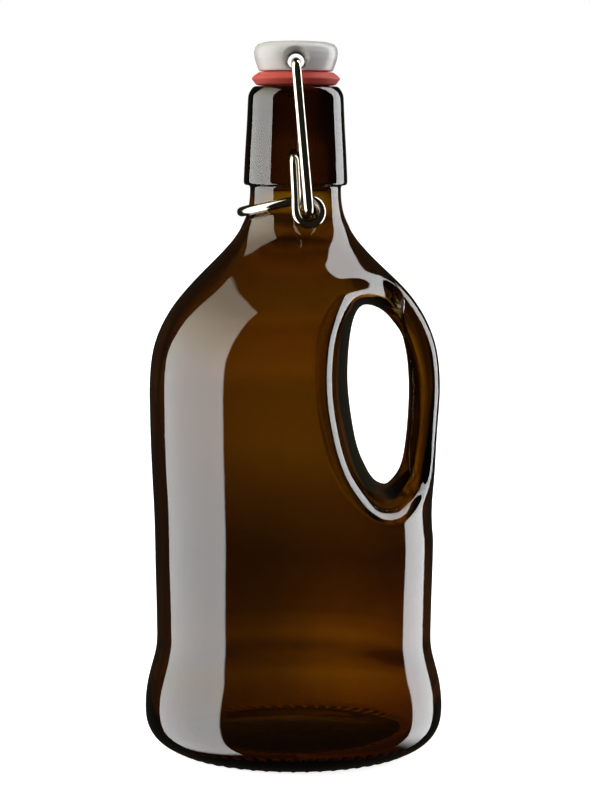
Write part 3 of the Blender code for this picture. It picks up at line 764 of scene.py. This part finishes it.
# ---------------------------------------------------------------- stopper and gasket
def spin_outline(outline, segments, axis="Z", centre=(0.0, 0.0, 0.0)):
    """A closed (radius, height) outline turned round an axis through the centre."""
    bm = bmesh.new()
    rings = []
    for radius, along in outline:
        count = 1 if radius == 0.0 else segments
        ring = []
        for k in range(count):
            angle = 2.0 * math.pi * k / segments
            a, b = radius * math.cos(angle), radius * math.sin(angle)
            place = (a, b, along) if axis == "Z" else (a, along, b)
            ring.append(bm.verts.new(Vector(place) + Vector(centre)))
        rings.append(ring)
    pairs = list(zip(rings, rings[1:]))
    if len(rings[0]) > 1:
        pairs.append((rings[-1], rings[0]))
    for one, two in pairs:
        for k in range(segments):
            after = (k + 1) % segments
            corners = [one[k % len(one)], one[after % len(one)],
                       two[after % len(two)], two[k % len(two)]]
            bm.faces.new(list(dict.fromkeys(corners)))
    return bm


def keep_cut_shape(piece, cutter):
    """Make the cut shape the piece's own mesh, so that the bore moves with it."""
    bpy.context.view_layer.update()
    seen = piece.evaluated_get(bpy.context.evaluated_depsgraph_get())
    mesh = bpy.data.meshes.new_from_object(seen)
    piece.modifiers.clear()
    piece.data = mesh
    bpy.data.objects.remove(cutter, do_unlink=True)


def make_stopper(material):
    outline = (
        (0.0, HEAD_TOP), (0.0060, HEAD_TOP - 0.0001), (0.0105, HEAD_TOP - 0.0004),
        (0.0132, HEAD_TOP - 0.0011), (0.0143, HEAD_TOP - 0.0022), (0.0147, HEAD_TOP - 0.0040),
        (0.0145, 0.2452), (0.0136, 0.2425), (0.0131, HEAD_BOTTOM + 0.0004),
        (0.0127, HEAD_BOTTOM), (0.0066, HEAD_BOTTOM), (0.0065, 0.2362), (0.0072, 0.2346),
        (0.0070, 0.2330), (0.0058, 0.2317), (0.0, 0.2311),
    )
    piece = finish_mesh("stopper", spin_outline(outline, 96), material)
    half = ((0.0102, STOPPER_BORE_RADIUS), (0.0122, STOPPER_BORE_RADIUS + 0.0006),
            (0.0134, STOPPER_BORE_RADIUS + 0.0014), (0.0146, COUNTERSINK_RADIUS),
            (0.0165, COUNTERSINK_RADIUS + 0.0024))
    run = [(0.0, -0.0165)] + [(r, -y) for y, r in reversed(half)]
    run += [(r, y) for y, r in half] + [(0.0, 0.0165)]
    bore = hide_cutter("bore_cutter", spin_outline(run, 48, "Y", (0.0, 0.0, STOPPER_BORE_HEIGHT)))
    cut = piece.modifiers.new("cross_bore", "BOOLEAN")
    cut.operation = "DIFFERENCE"
    cut.object = bore
    remesh = piece.modifiers.new("even_faces", "REMESH")
    remesh.mode = "VOXEL"
    remesh.voxel_size = 0.00030
    remesh.use_smooth_shade = True
    soften = piece.modifiers.new("glaze_soft_edges", "SMOOTH")
    soften.factor = 0.5
    soften.iterations = 10
    keep_cut_shape(piece, bore)
    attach(piece, "stopper")
    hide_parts("porcelain_stopper")


def make_gasket(material):
    bottom = GLASS_TOP + CLEARANCE
    top = HEAD_BOTTOM - CLEARANCE
    outline = (
        (GASKET_HOLE, top), (0.0124, top), (0.0131, top - 0.0001), (0.0137, top - 0.0005),
        (0.0146, 0.23935), (0.0153, 0.2386), (0.01555, 0.2382), (0.0153, 0.2378),
        (0.0148, 0.2372), (0.0143, bottom + 0.0005), (0.0138, bottom + 0.0001),
        (0.0130, bottom), (GASKET_HOLE, bottom),
    )
    piece = finish_mesh("gasket", spin_outline(outline, 128), material)
    edge = piece.modifiers.new("moulded_edge", "BEVEL")
    edge.width = 0.00025
    edge.segments = 2
    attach(piece, "stopper")
    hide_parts("rubber_gasket")


# ---------------------------------------------------------------- wires
def round_corners(points, bend):
    """A path through the points with each inner corner swapped for a round bend."""
    path = [Vector(points[0])]
    for before, corner, after in zip(points, points[1:], points[2:]):
        before, corner, after = Vector(before), Vector(corner), Vector(after)
        start = corner + (before - corner).normalized() * bend
        end = corner + (after - corner).normalized() * bend
        for k in range(13):
            t = k / 12.0
            path.append((1 - t) ** 2 * start + 2 * t * (1 - t) * corner + t * t * end)
    path.append(Vector(points[-1]))
    return path


def even_path(path, step):
    """The same path with evenly spaced points, a little relaxed so that no kink shows."""
    points = np.array([tuple(p) for p in path])
    gaps = np.linalg.norm(np.diff(points, axis=0), axis=1)
    keep = np.concatenate(([True], gaps > 1e-7))
    points = points[keep]
    lengths = np.concatenate(([0.0], np.cumsum(np.linalg.norm(np.diff(points, axis=0), axis=1))))
    places = np.linspace(0.0, lengths[-1], max(8, round(lengths[-1] / step)))
    even = np.stack([np.interp(places, lengths, points[:, k]) for k in range(3)], axis=1)
    for _ in range(12):
        even[1:-1] = 0.5 * even[1:-1] + 0.25 * (even[:-2] + even[2:])
    return even


def tube(name, path, material, sides=24):
    """A round wire along the path with softly rounded cut ends."""
    points = even_path(path, WIRE_STEP)
    count = len(points)
    tangents = np.gradient(points, axis=0)
    tangents /= np.linalg.norm(tangents, axis=1)[:, None]
    across = np.cross(tangents[0], (0.0, 0.0, 1.0))
    across /= np.linalg.norm(across)
    bm = bmesh.new()
    rings = []
    for i in range(count):
        across = across - tangents[i] * np.dot(across, tangents[i])
        across /= np.linalg.norm(across)
        other = np.cross(tangents[i], across)
        from_end = min(i, count - 1 - i) * WIRE_STEP
        short = max(0.0, 1.0 - (from_end + 0.00015) / 0.0007)
        radius = WIRE_RADIUS * math.sqrt(max(0.05, 1.0 - 0.45 * short * short))
        ring = []
        for k in range(sides):
            angle = 2.0 * math.pi * k / sides
            side = across * math.cos(angle) + other * math.sin(angle)
            ring.append(bm.verts.new(points[i] + radius * side))
        rings.append(ring)
    for one, two in zip(rings, rings[1:]):
        for k in range(sides):
            after = (k + 1) % sides
            bm.faces.new((one[k], one[after], two[after], two[k]))
    bm.faces.new(rings[0])
    bm.faces.new(rings[-1])
    return finish_mesh(name, bm, material)


def mirror_path(path):
    """The whole wire from its half on the -Y side, the half's last point being at y = 0."""
    return path + [Vector((p.x, -p.y, p.z)) for p in reversed(path[:-1])]


def make_lever(material):
    """Pivot end, leg, eye and thumb loop, bent from one wire."""
    path = round_corners([
        (PIVOT.x, -PIVOT_END, PIVOT.z),
        (PIVOT.x, -PIVOT_LAYER, PIVOT.z),
        (EYE.x - EYE_RADIUS, -LEG_LAYER, EYE.z + 0.0043),
    ], WIRE_BEND)
    steps = 48
    for k in range(steps + 1):
        turn = math.pi + 1.5 * math.pi * k / steps
        shift = max(0.0, (k / steps - 0.3) / 0.7)
        layer = EYE_LAYER + (THUMB_LAYER - EYE_LAYER) * shift
        path.append(Vector((EYE.x + EYE_RADIUS * math.cos(turn), -layer,
                            EYE.z + EYE_RADIUS * math.sin(turn))))
    eye_top = EYE.z + EYE_RADIUS
    path.append(Vector((0.0022, -THUMB_LAYER, eye_top - 0.0002)))
    arc_steps = 32
    for k in range(arc_steps + 1):
        turn = 0.5 * math.pi * k / arc_steps
        x = -THUMB_REACH * math.sin(turn)
        y = -THUMB_LAYER * math.cos(turn)
        drop = 0.0006 + (THUMB_TIP_DROP - 0.0006) * math.sin(turn)
        path.append(Vector((x, y, eye_top - drop)))
    piece = tube("lever", mirror_path(path), material)
    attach(piece, "lever")
    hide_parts("lever_wire")


def make_bail(material):
    """Hooked end in the lever's eye, splayed leg and the run through the stopper's bore."""
    path = round_corners([
        (EYE.x, -BAIL_HOOK_END, EYE.z),
        (EYE.x, -BAIL_LAYER, EYE.z),
        (BORE_WIRE.x, -BAIL_SHOULDER, BORE_WIRE.z),
        (BORE_WIRE.x, 0.0, BORE_WIRE.z),
    ], WIRE_BEND)
    piece = tube("bail", mirror_path(path), material)
    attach(piece, "bail")
    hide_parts("bail_wire")


# ---------------------------------------------------------------- floor, light
def make_floor():
    bm = bmesh.new()
    reach = 6.0
    corners = [bm.verts.new((x, y, 0.0)) for x, y in
               ((-reach, -reach), (reach, -reach), (reach, reach), (-reach, reach))]
    bm.faces.new(corners)
    material, nodes, shader, _ = new_material("studio_floor")
    grain = nodes.noise(nodes.object_position(), 30.0, 3.0)
    tone = nodes.mix(grain, (0.90, 0.90, 0.895, 1.0), (0.93, 0.93, 0.93, 1.0))
    nodes.link(tone, shader.inputs["Base Color"])
    nodes.link(tone, shader.inputs["Emission Color"])
    shader.inputs["Emission Strength"].default_value = 0.95
    shader.inputs["Roughness"].default_value = 0.8
    floor = finish_mesh("floor", bm, material)
    floor.visible_glossy = False
    floor.visible_transmission = False
    floor.visible_diffuse = False


def make_foot_shade():
    """Darkness under the foot: light that leaves through the base meets no bright floor."""
    bm = bmesh.new()
    bmesh.ops.create_circle(bm, cap_ends=True, segments=48, radius=FOOT_SHADE_RADIUS)
    material, nodes, shader, _ = new_material("foot_shade")
    tone = nodes.remap(nodes.noise(nodes.object_position(), 60.0), 0.3, 0.7, 0.004, 0.012)
    nodes.link(tone, shader.inputs["Base Color"])
    shader.inputs["Roughness"].default_value = 0.9
    shade = finish_mesh("foot_shade", bm, material)
    shade.location.z = 0.0002


class Studio:
    """Light by direction: each soft box is a flat upright panel facing the bottle."""

    def __init__(self, nodes, direction):
        self.nodes = nodes
        self.x, self.y, self.z = nodes.separate(direction)

    def frame(self, bearing):
        """How far a direction points towards a bearing, sideways from it, and upwards."""
        nodes = self.nodes
        turn = math.radians(bearing)
        ahead = nodes.math("ADD", nodes.math("MULTIPLY", self.x, math.sin(turn)),
                           nodes.math("MULTIPLY", self.y, -math.cos(turn)))
        aside = nodes.math("ADD", nodes.math("MULTIPLY", self.x, math.cos(turn)),
                           nodes.math("MULTIPLY", self.y, math.sin(turn)))
        facing = nodes.remap(ahead, 0.0, 0.05, 0.0, 1.0)
        ahead = nodes.math("MAXIMUM", ahead, 0.001)
        return facing, nodes.math("DIVIDE", aside, ahead), nodes.math("DIVIDE", self.z, ahead)

    def inside(self, value, low, high, soft_low, soft_high):
        nodes = self.nodes
        return nodes.math("MULTIPLY",
                          nodes.remap(value, low - soft_low, low + soft_low, 0.0, 1.0),
                          nodes.remap(value, high - soft_high, high + soft_high, 1.0, 0.0))

    def panel(self, bearing, sides, ends, soft=0.02, soft_ends=(0.25, 0.05)):
        facing, across, rise = self.frame(bearing)
        mask = self.nodes.math("MULTIPLY", self.inside(across, *sides, soft, soft),
                               self.inside(rise, *ends, *soft_ends))
        return self.nodes.math("MULTIPLY", mask, facing), across, rise


def make_world():
    """A studio seen in the glass, glaze and steel: two tall soft boxes and a lit card."""
    world = bpy.data.worlds.new("studio")
    bpy.context.scene.world = world
    world.use_nodes = True
    nodes = Nodes(world.node_tree)
    studio = Studio(nodes, nodes.add("ShaderNodeTexCoord").outputs["Generated"])

    left, across, rise = studio.panel(-70.0, (-1.428, 0.222), (-1.5, 1.85))
    glow = nodes.math("MULTIPLY", nodes.remap(across, -1.4, 0.2, LEFT_FAR, LEFT_NEAR, False),
                      nodes.remap(rise, 0.1, 1.6, 1.0, 0.46))
    left = nodes.math("MULTIPLY", left, glow)
    warm = nodes.mix(nodes.remap(rise, -0.15, 0.8, 0.0, 1.0),
                     (1.0, 1.0, 0.985, 1.0), (1.0, 0.95, 0.76, 1.0))
    left = nodes.dimmed(warm, left)

    right, across, _ = studio.panel(120.0, (-0.287, 0.306), (-0.65, 3.2))
    glow = nodes.remap(across, -0.28, 0.30, RIGHT_NEAR, RIGHT_FAR, False)
    right = nodes.math("MULTIPLY", right, glow)
    right = nodes.dimmed((0.98, 0.99, 1.0), right)

    boxes = nodes.add("ShaderNodeVectorMath", operation="ADD")
    nodes.link(left, boxes.inputs[0])
    nodes.link(right, boxes.inputs[1])
    room = nodes.add("ShaderNodeVectorMath", operation="ADD")
    nodes.link(boxes.outputs[0], room.inputs[0])
    room.inputs[1].default_value = (0.022, 0.020, 0.015)

    # The lit card stands behind the bottle; its light is uneven from top to bottom.
    facing, across, rise = studio.frame(180.0)
    wide = nodes.math("ABSOLUTE", across)
    behind = nodes.math("MULTIPLY", nodes.remap(wide, CARD_WIDTH[0], CARD_WIDTH[1], 1.0, 0.0),
                        facing)
    ramp = nodes.add("ShaderNodeValToRGB")
    nodes.link(nodes.remap(rise, CARD_BOTTOM, CARD_TOP, 0.0, 1.0, False), ramp.inputs["Fac"])
    stops = ramp.color_ramp.elements
    for index, (elevation, _) in enumerate(CARD_STOPS):
        place = (math.tan(math.radians(elevation)) - CARD_BOTTOM) / (CARD_TOP - CARD_BOTTOM)
        if index < 2:
            stops[index].position = place
        else:
            stops.new(place)
    for element, (_, tone) in zip(sorted(stops, key=lambda stop: stop.position), CARD_STOPS):
        element.color = (*tone, 1.0)
    below = nodes.remap(studio.z, -0.42, -0.24, SURROUND_LOW, SURROUND)
    # It is brighter towards the handle's side low down.
    low = nodes.remap(rise, -0.20, -0.11, 1.0, 0.0)
    lean = nodes.remap(across, -0.05, 0.03, 1.9, 0.72)
    lean = nodes.math("ADD", nodes.math("MULTIPLY", low, nodes.math("SUBTRACT", lean, 1.0)), 1.0)
    card = nodes.mix(behind, below, nodes.dimmed(ramp.outputs["Color"], lean))

    # Matt surfaces are lit from both sides, the left more, and little from the front.
    sky = nodes.remap(studio.z, -0.4, 0.4, 0.22, 1.0)
    side = nodes.math("ADD", nodes.remap(studio.x, -0.9, -0.1, 1.35, 0.12),
                      nodes.remap(studio.x, 0.15, 0.95, 0.0, 0.95))
    ambient = nodes.math("MULTIPLY", sky, side)

    path = nodes.add("ShaderNodeLightPath").outputs
    shown = nodes.mix(path["Is Transmission Ray"], room.outputs[0], card)
    shown = nodes.mix(path["Is Diffuse Ray"], shown, ambient)
    shown = nodes.mix(path["Is Camera Ray"], shown, (1.0, 1.0, 1.0, 1.0))
    background = nodes.add("ShaderNodeBackground")
    nodes.link(shown, background.inputs["Color"])
    output = nodes.add("ShaderNodeOutputWorld")
    nodes.link(background.outputs[0], output.inputs["Surface"])


bpy.context.scene.view_settings.view_transform = "Standard"
make_floor()
make_foot_shade()
make_world()
make_bottle(amber_glass())
make_stopper(glazed_porcelain())
make_gasket(red_rubber())
steel = steel_wire()
make_lever(steel)
make_bail(steel)
